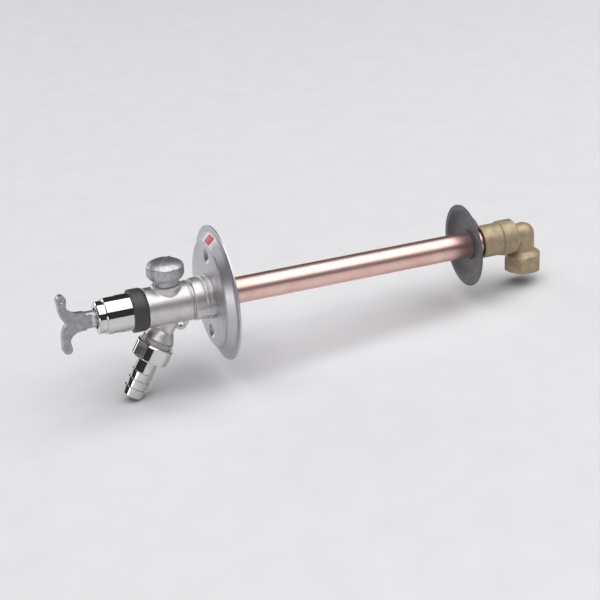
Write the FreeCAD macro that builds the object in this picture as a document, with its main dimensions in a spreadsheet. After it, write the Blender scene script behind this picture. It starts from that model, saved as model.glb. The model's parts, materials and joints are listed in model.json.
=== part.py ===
import FreeCAD, Part
import math
import os
import Sketcher
from FreeCAD import Vector

# Frost-proof garden tap for a wall: a keyed tap head outside, a copper tube through the wall and a brass
# elbow with the shut-off valve inside. +Y runs along the tube into the wall, +Z is up, and the origin is on
# the tube's axis in the plane of the wall, where the front rosette rests. Lengths are in millimetres.

sizes = {
    # tube and tap head, stations along Y
    "tubeRadius": 11.0, "tubeBore": 10.0, "tubeFront": -23.0, "tubeBack": 252.0, "slip": 0.1, "running": 0.06,
    "noseFront": -104.3, "noseBack": -97.6, "collarFront": -75.8, "bonnetBack": -64.0, "bodyFront": -63.5,
    "spigotFront": -74.5, "grooveFront": -26.4, "grooveBack": -24.4, "seamAt": -16.1, "plateFace": -8.4,
    "noseRadius": 13.4, "bonnetRadius": 15.5, "collarRadius": 17.8, "barrelRadius": 16.5,
    "grooveRadius": 15.2, "hubRadius": 17.5, "ridgeRadius": 18.6, "spigotRadius": 13.0, "waterRadius": 9.2,
    "wedgeOut": 20.0,
    # bonnet and spindle
    "glandBore": 9.5, "chamberFront": -86.0, "recessRadius": 8.7, "recessBack": -92.5,
    "stemRadius": 5.0, "squareHalf": 3.5, "squareMiddle": -98.5, "squareLength": 12.0, "squareBack": -93.5,
    "flangeFront": -81.0, "flangeBack": -78.0, "flangeRadius": 9.0, "stemBack": -50.0, "rodRadius": 4.0,
    "rodFront": -66.0, "rodBack": 234.0, "pinAt": -58.0, "pinRadius": 1.25, "guideAt": 120.0,
    # key
    "keyTurn": 8.2, "keyThickness": 9.0, "keyNotch": -128.6, "bowCurve": 19.0, "neckCurve": 9.5,
    "rampCurve": 7.0, "rampDepth": 4.5, "knobAt": -130.3, "knobOut": 20.3, "knobRadius": 3.92,
    "dimpleRadius": 1.8, "shankRadius": 7.1, "keyBack": -94.5, "keyWaist": -119.0, "socketDepth": 25.0,
    # vacuum breaker on top, heights along Z
    "bossAt": -43.6, "bossRadius": 12.3, "ledgeHeight": 17.4, "neckRadius": 10.0, "capRadius": 15.4,
    "capFlat": 14.9, "capTurn": 13.0, "capBottom": 23.8, "capEdge": 34.0, "capTop": 39.0, "bossBore": 7.5,
    "breakerFloor": 12.0, "floatRadius": 5.2, "floatStem": 2.0, "ventRadius": 1.5,
    # outlet branch, lengths along its own axis from the tube's axis
    "outletAt": -36.6, "outletLean": 30.6, "outletBore": 7.2, "cageBore": 9.5, "cageTop": 34.0,
    "threadRadius": 13.2, "threadCore": 12.3, "threadStart": 33.2, "branchNeck": 8.8, "bellStart": 24.5,
    "outletEnd": 45.0, "cageWall": 7.8, "seatHole": 5.0, "poppetStem": 1.2, "nutStart": 38.2,
    "nutEnd": 52.1, "nutRadius": 16.3, "nutFlat": 15.35, "tailRadius": 8.75, "barbRadius": 9.62,
    "barbFirst": 64.1, "tailEnd": 86.3, "tailBore": 6.5,
    # eyelet for a wire seal
    "eyeAt": -34.4, "eyeDrop": 18.7, "eyeHole": 2.6, "eyeThickness": 4.5,
    # front rosette
    "rimRadius": 56.0, "rimInner": 51.6, "discRadius": 43.2, "rimFace": -1.5, "sheet": 1.2,
    "rosetteHole": 12.8, "rosetteLift": 1.3,
    "screwCircle": 33.4, "screwHole": 2.6, "screwSink": 6.8, "screwDepth": 1.6, "labelAngle": 13.8,
    "gasketRadius": 21.0,
    # shut-off valve at the inner end of the tube
    "carrierFront": 214.0, "boreEnd": 238.5, "housingBore": 8.6, "seatFront": 246.0, "seatBack": 249.0,
    "screwRadius": 1.5, "screwHead": 3.6,
    # rear rosette and elbow
    "rearFace": 222.0, "rearRadius": 35.4, "rearHubFront": 225.0, "rearHubBack": 231.0,
    "lugInner": 22.8, "lugOuter": 25.2, "lugMiddle": 228.6,
    "socketFront": 236.8, "bandFront": 254.8, "bandBack": 269.4, "socketRadius": 14.1, "bandRadius": 15.3,
    "sealRadius": 12.8, "sealBack": 241.8, "legAt": 279.2, "legRadius": 10.2, "legBore": 7.5,
    "hexFlat": 15.0, "hexCorner": 17.32, "hexTop": -17.2, "hexBottom": -32.2, "femaleRadius": 12.3,
}

doc = FreeCAD.newDocument("gardenTap")
sheet = doc.addObject("Spreadsheet::Sheet", "Sizes")
for row, (name, value) in enumerate(sizes.items(), start=1):
    sheet.set(f"A{row}", name)
    sheet.set(f"B{row}", str(value))
    sheet.setAlias(f"B{row}", name)
doc.recompute()

parts = []


def amount(text):
    """Number for a sum such as 'tubeRadius + slip': names from the sheet, or plain numbers, with + and -."""
    total, sign = 0.0, 1.0
    for word in str(text).split():
        if word in "+-":
            sign = 1.0 if word == "+" else -1.0
        elif word.lstrip("-") in sizes:
            total += sign * (-1.0 if word[0] == "-" else 1.0) * sizes[word.lstrip("-")]
        else:
            total += sign * float(word)
    return total


def bound(text):
    """The same sum as an expression on the sheet."""
    words = []
    for word in str(text).split():
        name = word.lstrip("-")
        words.append(word.replace(name, "Sizes." + name) if name in sizes else word)
    return " ".join(words)


def negated(text):
    """The same sum with its sign changed."""
    words = text.split()
    first = words[0][1:] if words[0][0] == "-" else "-" + words[0]
    return " ".join([first] + [{"+": "-", "-": "+"}.get(word, word) for word in words[1:]])


def newBody(label):
    body = doc.addObject("PartDesign::Body", label)
    body.Label = label
    parts.append(body)
    return body


def newSketch(body, role, name, shift=("0", "0", "0"), lean=None):
    """Sketch on one of the body's own origin planes, shifted in it and off it, and turned in it."""
    plane = next(f for f in body.Origin.OriginFeatures if f.Role == role)
    sketch = body.newObject("Sketcher::SketchObject", name)
    sketch.AttachmentSupport = [(plane, "")]
    sketch.MapMode = "FlatFace"
    turn = FreeCAD.Rotation(Vector(0, 0, 1), 1.0 if lean else 0.0)
    sketch.AttachmentOffset = FreeCAD.Placement(Vector(), turn)
    for letter, text in zip("xyz", shift):
        sketch.setExpression("AttachmentOffset.Base." + letter, bound(text))
    if lean:
        sketch.setExpression("AttachmentOffset.Rotation.Angle", lean)
    return sketch


def pinPoint(sketch, edge, end, across, along):
    """Ties one point to the sketch's origin by two sizes from the sheet."""
    if across == "0":
        sketch.addConstraint(Sketcher.Constraint("PointOnObject", edge, end, -2))
    else:
        index = sketch.addConstraint(Sketcher.Constraint("DistanceX", -1, 1, edge, end, amount(across)))
        sketch.setExpression(f"Constraints[{index}]", bound(across))
    if along == "0":
        sketch.addConstraint(Sketcher.Constraint("PointOnObject", edge, end, -1))
    else:
        index = sketch.addConstraint(Sketcher.Constraint("DistanceY", -1, 1, edge, end, amount(along)))
        sketch.setExpression(f"Constraints[{index}]", bound(along))


def trace(sketch, corners):
    """Closed outline. A corner is (across, along), or (across, along, radius, side) where the edge to the
    next corner is an arc, with its centre on the left (side 1) or right (side -1) of that edge."""
    ends = []
    for index, corner in enumerate(corners):
        following = corners[(index + 1) % len(corners)]
        start = Vector(amount(corner[0]), amount(corner[1]), 0)
        stop = Vector(amount(following[0]), amount(following[1]), 0)
        if len(corner) == 2:
            edge = sketch.addGeometry(Part.LineSegment(start, stop))
            ends.append((edge, 1, 2))
            continue
        radius, side = amount(corner[2]), corner[3]
        chord = stop - start
        left = Vector(-chord.y, chord.x, 0).normalize()
        middle = (start + stop) * 0.5 + left * side * math.sqrt(radius**2 - (chord.Length / 2) ** 2)
        first, last = (start, stop) if side > 0 else (stop, start)
        angles = [math.atan2(p.y - middle.y, p.x - middle.x) for p in (first, last)]
        circle = Part.Circle(middle, Vector(0, 0, 1), radius)
        edge = sketch.addGeometry(Part.ArcOfCircle(circle, angles[0], angles[1]))
        ends.append((edge, 1, 2) if side > 0 else (edge, 2, 1))
        index = sketch.addConstraint(Sketcher.Constraint("Radius", edge, radius))
        sketch.setExpression(f"Constraints[{index}]", bound(corner[2]))
    for index, corner in enumerate(corners):
        edge, begin, _ = ends[index]
        before, _, finish = ends[index - 1]
        sketch.addConstraint(Sketcher.Constraint("Coincident", before, finish, edge, begin))
        pinPoint(sketch, edge, begin, corner[0], corner[1])


def ring(sketch, across, along, radius):
    """Circle at a place, with its radius from the sheet."""
    centre = Vector(amount(across), amount(along), 0)
    edge = sketch.addGeometry(Part.Circle(centre, Vector(0, 0, 1), amount(radius)))
    pinPoint(sketch, edge, 3, across, along)
    index = sketch.addConstraint(Sketcher.Constraint("Radius", edge, amount(radius)))
    sketch.setExpression(f"Constraints[{index}]", bound(radius))


def spun(body, corners, name, role="XY_Plane", kind="Revolution", shift=("0", "0", "0"), lean=None):
    """Outline spun about the sketch's upright axis; a Groove takes it away instead."""
    sketch = newSketch(body, role, name + "Outline", shift, lean)
    trace(sketch, corners)
    before = body.Shape.Volume if kind == "Groove" else 0.0
    feature = body.newObject("PartDesign::" + kind, name)
    feature.Profile = sketch
    feature.ReferenceAxis = (sketch, ["V_Axis"])
    feature.Angle = 360
    doc.recompute()
    if kind == "Groove" and feature.Shape.Volume > before - 1e-3:
        raise RuntimeError(f"{name} in {body.Label} cuts nothing")
    return feature


def extruded(body, sketch, name, kind, length):
    """Pad or pocket of a sketch, half of its length to each side."""
    doc.recompute()
    before = body.Shape.Volume if body.Tip and not body.Shape.isNull() else 0.0
    feature = body.newObject("PartDesign::" + kind, name)
    feature.Profile = sketch
    feature.SideType = "Symmetric"
    feature.setExpression("Length", bound(length))
    doc.recompute()
    if abs(feature.Shape.Volume - before) < 1e-3:
        raise RuntimeError(f"{name} in {body.Label} changes nothing")
    return feature


def place(body, shift=("0", "0", "0"), axis=(1, 0, 0), turn=None):
    """Sets a finished body where it belongs, from the sheet."""
    if turn:
        body.Placement = FreeCAD.Placement(Vector(), FreeCAD.Rotation(Vector(*axis), 1.0))
        body.setExpression("Placement.Rotation.Angle", turn)
    for letter, text in zip("xyz", shift):
        body.setExpression("Placement.Base." + letter, bound(text))


def onOutlet(body):
    """The outlet's pieces are drawn with Z along the branch, then leaned forward and down."""
    place(body, ("0", "outletAt", "0"), (1, 0, 0), "180 - Sizes.outletLean")


def flats(body, name, role, count, apothem, outer, length, shift=("0", "0", "0"), first="0"):
    """Flat faces milled round a turned blank: what lies outside each one is pocketed away."""
    for number in range(count):
        turn = f"{first} + {360.0 / count * number}"
        sketch = newSketch(body, role, f"{name}Outline{number}", shift, turn)
        far = outer + " + 1"
        trace(sketch, [(apothem, "-" + outer), (far, "-" + outer), (far, outer), (apothem, outer)])
        extruded(body, sketch, f"{name}{number}", "Pocket", length)


def fins(body, name, role, count, inner, outer, half, length, shift):
    """Straight fins that stand out from a hub."""
    for number in range(count):
        sketch = newSketch(body, role, f"{name}Outline{number}", shift, f"30 + {360.0 / count * number}")
        trace(sketch, [(inner, "-" + half), (outer, "-" + half), (outer, half), (inner, half)])
        extruded(body, sketch, f"{name}{number}", "Pad", length)


def sleeve(label, inner, outer, front, back, role="XY_Plane"):
    """Plain ring between two stations of its axis."""
    body = newBody(label)
    spun(body, [(inner, front), (outer, front), (outer, back), (inner, back)], "wall", role)
    return body


# ---- key: a flat bow with two knobs on a round shank, with a square socket for the spindle ----

key = newBody("key_handle")
bow = newSketch(key, "YZ_Plane", "bowOutline")
upper = [
    ("keyNotch", "0", "bowCurve", -1), ("knobAt - 3.1", "knobOut - 6.7"),
    ("knobAt - 3.7", "knobOut - 1.3", "knobRadius", -1), ("knobAt", "knobOut + 3.9", "knobRadius", -1),
    ("knobAt + 3.7", "knobOut - 1.3"), ("knobAt + 3", "knobOut - 6.3", "neckCurve", 1),
    ("keyWaist", "shankRadius + 0.4"), ("keyWaist + 6", "shankRadius"),
]
# the lower half mirrors the upper one and runs back to the notch, so each arc belongs to the corner before it
lower = [(upper[number][0], negated(upper[number][1])) + upper[number - 1][2:]
         for number in range(len(upper) - 1, 0, -1)]
trace(bow, upper + lower)
extruded(key, bow, "bow", "Pad", "keyThickness")
spun(key, [("0", "keyWaist"), ("shankRadius - 1", "keyWaist"), ("shankRadius", "keyWaist + 3"),
           ("shankRadius", "keyBack - 0.8"), ("shankRadius - 0.8", "keyBack"), ("0", "keyBack")], "shank")
# the bow's flat faces run up into the round shank
for number, (turned, side) in enumerate(((str, 1), (negated, -1))):
    ramp = newSketch(key, "XY_Plane", f"rampOutline{number}")
    trace(ramp, [(turned("rampDepth"), "keyWaist - 1"),
                 (turned("rampDepth"), "keyWaist + 11", "rampCurve", side),
                 (turned("shankRadius + 0.1"), "keyWaist + 15.5"),
                 (turned("shankRadius + 2"), "keyWaist + 15.5"),
                 (turned("shankRadius + 2"), "keyWaist - 1")])
    extruded(key, ramp, f"ramp{number}", "Pocket", "20")
socket = newSketch(key, "XZ_Plane", "socketOutline", ("0", "0", "-keyBack + 1"))
socketHalf = "squareHalf + slip"
trace(socket, [(negated(socketHalf), negated(socketHalf)), (socketHalf, negated(socketHalf)),
               (socketHalf, socketHalf), (negated(socketHalf), socketHalf)])
extruded(key, socket, "socket", "Pocket", "socketDepth")
for number, height in enumerate(("knobOut", "-knobOut")):
    for face, away in (("front", "rampDepth"), ("rear", "-rampDepth")):
        dimple = newSketch(key, "YZ_Plane", f"dimple{face}Outline{number}", ("0", "0", away))
        ring(dimple, "knobAt", height, "dimpleRadius")
        extruded(key, dimple, f"dimple{face}{number}", "Pocket", "1.2")
place(key, axis=(0, 1, 0), turn="-Sizes.keyTurn")

# ---- bonnet, collar and the turning pieces inside them ----

bonnet = newBody("bonnet")
spun(bonnet, [
    ("recessRadius", "noseFront"), ("noseRadius - 1.2", "noseFront"), ("noseRadius", "noseFront + 1"),
    ("noseRadius", "noseBack"), ("bonnetRadius - 0.4", "noseBack"), ("bonnetRadius", "noseBack + 0.6"),
    ("bonnetRadius", "bonnetBack"), ("spigotRadius + slip", "bonnetBack"),
    ("spigotRadius + slip", "spigotFront - 0.5"), ("glandBore", "spigotFront - 0.5"),
    ("glandBore", "chamberFront"), ("stemRadius + running", "chamberFront"),
    ("stemRadius + running", "recessBack"), ("recessRadius", "recessBack")], "turned")
flats(bonnet, "spannerFlat", "XZ_Plane", 2, "bonnetRadius - 0.7", "bonnetRadius", "12",
      ("0", "0", "-noseBack - 5.8"), "-65")

collar = newBody("collar_ring")
spun(collar, [
    ("bonnetRadius + slip", "collarFront"), ("collarRadius - 0.5", "collarFront"),
    ("collarRadius", "collarFront + 0.5"), ("collarRadius", "bonnetBack - 2"),
    ("collarRadius - 1", "bonnetBack"), ("bonnetRadius + slip", "bonnetBack")], "turned")

spindle = newBody("spindle_head")
spun(spindle, [
    ("0", "squareBack"), ("stemRadius", "squareBack"), ("stemRadius", "flangeFront"),
    ("flangeRadius", "flangeFront"), ("flangeRadius", "flangeBack"), ("stemRadius + 1", "flangeBack"),
    ("stemRadius + 1", "stemBack"), ("rodRadius + slip", "stemBack"), ("rodRadius + slip", "rodFront - 0.5"),
    ("0", "rodFront - 0.5")], "turned")
square = newSketch(spindle, "XZ_Plane", "squareOutline", ("0", "0", "-squareMiddle"))
trace(square, [("-squareHalf", "-squareHalf"), ("squareHalf", "-squareHalf"),
               ("squareHalf", "squareHalf"), ("-squareHalf", "squareHalf")])
extruded(spindle, square, "square", "Pad", "squareLength")
crossHole = newSketch(spindle, "XY_Plane", "crossHoleOutline")
ring(crossHole, "0", "pinAt", "pinRadius + 0.03")
extruded(spindle, crossHole, "crossHole", "Pocket", "20")
place(spindle, axis=(0, 1, 0), turn="-Sizes.keyTurn")

rod = newBody("drive_rod")
spun(rod, [
    ("0", "rodFront"), ("rodRadius", "rodFront"), ("rodRadius", "stemBack + 1"),
    ("rodRadius - 1", "stemBack + 2"), ("rodRadius - 1", "carrierFront - 6"),
    ("rodRadius", "carrierFront - 5"),
    ("rodRadius", "rodBack"), ("0", "rodBack")], "turned")
rodHole = newSketch(rod, "XY_Plane", "rodHoleOutline")
ring(rodHole, "0", "pinAt", "pinRadius + 0.03")
extruded(rod, rodHole, "rodHole", "Pocket", "20")
place(rod, axis=(0, 1, 0), turn="-Sizes.keyTurn")

pin = newBody("drive_pin")
pinBlank = newSketch(pin, "XY_Plane", "pinOutline")
ring(pinBlank, "0", "pinAt", "pinRadius")
extruded(pin, pinBlank, "pin", "Pad", "11")
place(pin, axis=(0, 1, 0), turn="-Sizes.keyTurn")

sleeve("stem_seal", "stemRadius + 0.02", "glandBore - 0.02", "chamberFront + slip", "chamberFront + 2.6")
sleeve("thrust_washer", "stemRadius + slip", "glandBore - slip", "chamberFront + 2.8", "flangeFront - 0.1")

guide = sleeve("rod_guide", "rodRadius - 0.9", "rodRadius + 1.2", "guideAt - 5", "guideAt + 5")
fins(guide, "fin", "XZ_Plane", 3, "rodRadius + 0.8", "tubeBore - 0.05", "0.8", "10", ("0", "0", "-guideAt"))


def middle(front, back):
    """Middle of a stretch of the axis."""
    return (amount(front) + amount(back)) / 2


def wedges(body, front, back):
    """Spanner flats that stand out from a round hub, the same on both sides."""
    length = amount(back) - amount(front)
    shift = ("0", "0", f"{-middle(front, back):.3f}")
    for number, turn in enumerate(("0", "180")):
        sketch = newSketch(body, "XZ_Plane", f"wedgeOutline{number}", shift, turn)
        trace(sketch, [("tubeRadius", "0"), ("hubRadius - 4.6", "hubRadius - 5.7"), ("wedgeOut", "-1.8"),
                       ("wedgeOut - 0.4", "-8"), ("hubRadius - 5", "-hubRadius + 5.3")])
        extruded(body, sketch, f"wedge{number}", "Pad", f"{length:.3f}")


# ---- tap body: barrel, boss for the vacuum breaker, leaning outlet branch, hub on the tube, eyelet ----

tap = newBody("valve_body")
spun(tap, [
    ("0", "spigotFront"), ("spigotRadius", "spigotFront"), ("spigotRadius", "bodyFront"),
    ("barrelRadius - 0.5", "bodyFront"), ("barrelRadius", "bodyFront + 0.5"),
    ("barrelRadius", "grooveFront - 1.4"), ("barrelRadius + 0.5", "grooveFront - 1.1"),
    ("barrelRadius + 0.5", "grooveFront - 0.3"), ("barrelRadius", "grooveFront"),
    ("grooveRadius", "grooveFront"), ("grooveRadius", "grooveBack"), ("hubRadius - 0.5", "grooveBack"),
    ("hubRadius", "grooveBack + 0.5"), ("hubRadius", "seamAt"), ("0", "seamAt")], "barrel")
wedges(tap, "grooveBack + 0.6", "seamAt")
spun(tap, [("0", "0"), ("bossRadius", "0"), ("bossRadius", "ledgeHeight"), ("neckRadius", "ledgeHeight + 1"),
           ("0", "ledgeHeight + 1")], "boss", "YZ_Plane", shift=("bossAt", "0", "0"))
outletLean = "180 - Sizes.outletLean"
threads = []
for turn in range(5):
    start = f"threadStart + {1.8 * turn:.1f}"
    threads += [("threadRadius", start), ("threadRadius", start + " + 0.7"), ("threadCore", start + " + 1.1"),
                ("threadCore", start + " + 1.5")]
spun(tap, [("0", "0"), ("branchNeck", "0"), ("branchNeck", "bellStart"),
           ("branchNeck + 1.4", "bellStart + 2.2"),
           ("threadRadius - 0.7", "threadStart - 1.4")] + threads[:-2]
     + [("threadCore", "outletEnd"), ("0", "outletEnd")], "branch", "YZ_Plane",
     shift=("outletAt", "0", "0"), lean=outletLean)
eye = newSketch(tap, "YZ_Plane", "eyeOutline")
trace(eye, [("eyeAt - 6.5", "-barrelRadius + 2"), ("eyeAt + 8", "-barrelRadius + 2"),
            ("eyeAt + 6.6", "-eyeDrop"), ("eyeAt + 3.4", "-eyeDrop - 4.6"), ("eyeAt", "-eyeDrop - 5.7"),
            ("eyeAt - 3.4", "-eyeDrop - 4.6"), ("eyeAt - 6.2", "-eyeDrop")])
extruded(tap, eye, "eye", "Pad", "eyeThickness")
eyeHole = newSketch(tap, "YZ_Plane", "eyeHoleOutline")
ring(eyeHole, "eyeAt", "-eyeDrop", "eyeHole")
extruded(tap, eyeHole, "eyeHole", "Pocket", "eyeThickness + 2")
spun(tap, [("0", "spigotFront"), ("waterRadius", "spigotFront"), ("waterRadius", "tubeFront"),
           ("tubeRadius + 0.02", "tubeFront"), ("tubeRadius + 0.02", "seamAt"), ("0", "seamAt")],
     "waterway", kind="Groove")
spun(tap, [("0", "0"), ("bossBore", "0"), ("bossBore", "ledgeHeight + 1"), ("0", "ledgeHeight + 1")],
     "breakerBore", "YZ_Plane", "Groove", ("bossAt", "0", "0"))
spun(tap, [("0", "0"), ("outletBore", "0"), ("outletBore", "cageTop"), ("cageBore", "cageTop"),
           ("cageBore", "outletEnd"), ("0", "outletEnd")], "outletWay", "YZ_Plane", "Groove",
     ("outletAt", "0", "0"), outletLean)

flange = newBody("flange_nut")
spun(flange, [
    ("tubeRadius + slip", "seamAt + 0.1"), ("hubRadius", "seamAt + 0.1"), ("hubRadius", "seamAt + 0.7"),
    ("ridgeRadius", "seamAt + 1.3"), ("ridgeRadius", "seamAt + 3"), ("hubRadius + 0.2", "seamAt + 3.4"),
    ("hubRadius + 0.2", "seamAt + 4.3"), ("ridgeRadius + 0.2", "seamAt + 4.7"),
    ("ridgeRadius + 0.2", "plateFace - 0.1"), ("tubeRadius + slip", "plateFace - 0.1")], "turned")
wedges(flange, "seamAt + 0.1", "plateFace - 0.1")

# ---- vacuum breaker: capped air inlet with a float that rises to shut it ----

cap = newBody("breaker_cap")
spun(cap, [
    ("0", "breakerFloor"), ("bossBore - 0.05", "breakerFloor"), ("bossBore - 0.05", "ledgeHeight + 1.1"),
    ("neckRadius", "ledgeHeight + 1.1"), ("neckRadius", "capBottom - 1"),
    ("capRadius - 2.4", "capBottom - 0.4"),
    ("capRadius", "capBottom + 3"), ("capRadius", "capEdge"), ("capRadius - 1.2", "capEdge + 1.3"),
    ("capRadius - 5", "capTop - 1.3"), ("capRadius - 10", "capTop - 0.3"), ("0", "capTop")], "turned",
    "XZ_Plane")
flats(cap, "capFlat", "XY_Plane", 8, "capFlat", "capRadius", "9.5", ("0", "0", "capEdge - 5.5"),
      "Sizes.capTurn")
spun(cap, [("0", "breakerFloor"), ("floatRadius + 0.3", "breakerFloor"), ("floatRadius + 0.3", "capBottom"),
           ("floatStem + slip", "capBottom"), ("floatStem + slip", "capEdge"), ("0", "capEdge")],
     "floatBore", "XZ_Plane", "Groove")
vent = newSketch(cap, "XZ_Plane", "ventOutline")
ring(vent, "0", "capBottom - 2.2", "ventRadius")
extruded(cap, vent, "vent", "Pocket", "26")
place(cap, ("0", "bossAt", "0"))

airFloat = newBody("breaker_float")
spun(airFloat, [("0", "breakerFloor + 1.1"), ("floatRadius", "breakerFloor + 1.1"),
              ("floatRadius", "breakerFloor + 4"), ("floatStem", "breakerFloor + 5.5"),
              ("floatStem", "capBottom + 3"), ("0", "capBottom + 3")], "turned", "XZ_Plane")
place(airFloat, ("0", "bossAt", "0"))
pad = newBody("float_pad")
spun(pad, [("0", "breakerFloor"), ("floatRadius", "breakerFloor"), ("floatRadius", "breakerFloor + 1.08"),
           ("0", "breakerFloor + 1.08")], "disc", "XZ_Plane")
place(pad, ("0", "bossAt", "0"))
place(sleeve("breaker_seat", "floatRadius - 2", "bossBore - 0.05", "breakerFloor - 2",
             "breakerFloor - 0.05", "XZ_Plane"),
      ("0", "bossAt", "0"))

# ---- outlet: check valve, washer, hose tail and the nut that holds it ----

cage = newBody("check_cage")
spun(cage, [("seatHole", "cageTop + 0.1"), ("cageBore - 0.05", "cageTop + 0.1"),
            ("cageBore - 0.05", "outletEnd - 0.1"),
            ("cageWall", "outletEnd - 0.1"), ("cageWall", "cageTop + 1.6"), ("seatHole", "cageTop + 1.6")],
     "turned", "XZ_Plane")
onOutlet(cage)
cageGuide = sleeve("check_guide", "poppetStem + 0.05", "poppetStem + 1.4", "outletEnd - 2.6",
                   "outletEnd - 0.2", "XZ_Plane")
fins(cageGuide, "fin", "XY_Plane", 3, "poppetStem + 1", "cageWall - 0.02", "0.6", "2.2",
     ("0", "0", "outletEnd - 1.4"))
onOutlet(cageGuide)
poppet = newBody("check_poppet")
spun(poppet, [("0", "cageTop + 1.7"), ("cageWall - 1.2", "cageTop + 1.7"),
              ("cageWall - 1.2", "cageTop + 2.9"),
              ("poppetStem", "cageTop + 4.5"), ("poppetStem", "outletEnd - 0.4"), ("0", "outletEnd - 0.4")],
     "turned", "XZ_Plane")
onOutlet(poppet)
onOutlet(sleeve("hose_washer", "cageWall - 0.5", "threadCore - 0.2", "outletEnd + 0.05", "outletEnd + 1.9",
                "XZ_Plane"))

nut = newBody("union_nut")
spun(nut, [("threadRadius + slip", "nutStart"), ("nutRadius - 1.1", "nutStart"),
           ("nutRadius", "nutStart + 1.3"),
           ("nutRadius", "nutEnd - 0.8"), ("nutRadius - 0.8", "nutEnd"), ("tailRadius + 0.2", "nutEnd"),
           ("tailRadius + 0.2", "nutEnd - 2.3"), ("threadRadius + slip", "nutEnd - 2.3")], "turned",
           "XZ_Plane")
flats(nut, "nutFlat", "XY_Plane", 6, "nutFlat", "nutRadius", "30", ("0", "0", "nutStart"))
onOutlet(nut)

tail = newBody("hose_tail")
barbs = []
for number in range(3):
    edge = f"barbFirst + {7.45 * number:.2f}"
    barbs += [("tailRadius - 0.3" if number else "tailRadius", edge), ("barbRadius", edge)]
spun(tail, [("tailBore", "outletEnd + 2"), ("threadRadius - 0.2", "outletEnd + 2"),
            ("threadRadius - 0.2", "nutEnd - 2.4"), ("tailRadius", "nutEnd - 2.4")] + barbs
     + [("tailRadius - 0.35", "tailEnd"), ("tailBore", "tailEnd")], "turned", "XZ_Plane")
onOutlet(tail)

# ---- front rosette with its gasket and label: the dish hangs loose on the tube, a little above its axis ----

rosette = newBody("wall_rosette")
spun(rosette, [
    ("rosetteHole", "plateFace"), ("discRadius", "plateFace"), ("discRadius + 1.6", "plateFace + 0.5"),
    ("rimInner - 1.2", "rimFace - 0.6"), ("rimInner", "rimFace"), ("rimRadius - 0.3", "rimFace"),
    ("rimRadius", "rimFace + 0.3"), ("rimRadius", "0"), ("rimInner - 0.4", "0"),
    ("discRadius - 0.2", "plateFace + sheet"),
    ("rosetteHole", "plateFace + sheet")], "dish")
# a pressed cup round each screw stands out at the back of the sheet
for number, height in enumerate(("screwCircle", "-screwCircle")):
    spun(rosette, [("screwHole", "plateFace + sheet - 0.2"), ("screwSink", "plateFace + sheet - 0.2"),
                   ("screwHole + 2.2", "plateFace + sheet + screwDepth"),
                   ("screwHole", "plateFace + sheet + screwDepth")],
         f"screwCup{number}", shift=("0", "0", height))
    spun(rosette, [("0", "plateFace"), ("screwSink", "plateFace"),
                   ("screwHole + 1.6", "plateFace + screwDepth"),
                   ("screwHole", "plateFace + screwDepth"), ("screwHole", "-3"), ("0", "-3")],
         f"screwHole{number}", kind="Groove", shift=("0", "0", height))
place(rosette, ("0", "0", "rosetteLift"))
sleeve("rosette_gasket", "tubeRadius + 0.3", "gasketRadius", "plateFace + sheet + 0.1", "-2")

label = newBody("rosette_label")
labelOutline = newSketch(label, "YZ_Plane", "labelOutline")
trace(labelOutline, [("plateFace + 0.64", "discRadius + 1.83"), ("rimFace - 0.82", "rimInner - 1.37"),
                     ("rimFace - 0.93", "rimInner - 1.27"), ("plateFace + 0.53", "discRadius + 1.93")])
labelBand = label.newObject("PartDesign::Revolution", "band")
labelBand.Profile = labelOutline
labelBand.ReferenceAxis = (labelOutline, ["H_Axis"])
labelBand.Midplane = True
labelBand.setExpression("Angle", "Sizes.labelAngle")
place(label, ("0", "0", "rosetteLift"))

# ---- tube and the shut-off valve at its inner end ----

sleeve("copper_tube", "tubeBore", "tubeRadius", "tubeFront", "tubeBack")
housing = newBody("seat_housing")
spun(housing, [
    ("housingBore", "carrierFront - 4"), ("tubeBore - 0.03", "carrierFront - 4"),
    ("tubeBore - 0.03", "seatBack"),
    ("seatHole", "seatBack"), ("seatHole", "seatFront + 0.5"), ("seatHole + 0.8", "seatFront"),
    ("housingBore", "seatFront")], "turned")
carrier = newBody("valve_carrier")
spun(carrier, [
    ("rodRadius + 0.05", "carrierFront"), ("housingBore - 0.1", "carrierFront"),
    ("housingBore - 0.1", "seatFront - 2.6"),
    ("screwRadius", "seatFront - 2.6"), ("screwRadius", "boreEnd"), ("rodRadius + 0.05", "boreEnd")],
    "turned")
flats(carrier, "carrierFlat", "XZ_Plane", 3, "housingBore - 1.6", "housingBore", "120",
      ("0", "0", "-seatFront"))
washer = sleeve("seat_washer", "screwRadius + 0.05", "seatHole + 1.8", "seatFront - 2.55", "seatFront - 0.05")
screw = newBody("washer_screw")
spun(screw, [("0", "boreEnd + 0.5"), ("screwRadius - 0.03", "boreEnd + 0.5"),
             ("screwRadius - 0.03", "seatFront"),
             ("screwHead", "seatFront"), ("screwHead - 0.3", "seatFront + 1.5"), ("0", "seatFront + 1.5")],
             "turned")

rear = newBody("rear_rosette")
spun(rear, [
    ("tubeRadius + 0.05", "rearHubFront"), ("tubeRadius + 1.4", "rearHubFront"),
    ("tubeRadius + 1.8", "rearHubFront + 2.4"),
    ("rearRadius - 9", "rearFace + 4.4"), ("rearRadius - 4.8", "rearFace + 0.6"),
    ("rearRadius - 4", "rearFace"),
    ("rearRadius", "rearFace"), ("rearRadius", "rearFace + 1.1"), ("rearRadius - 4", "rearFace + 1.4"),
    ("rearRadius - 8.4", "rearFace + 5.6"), ("tubeRadius + 3", "rearHubFront + 4"),
    ("tubeRadius + 2.4", "rearHubBack"), ("tubeRadius + 0.05", "rearHubBack")], "dish")
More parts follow.
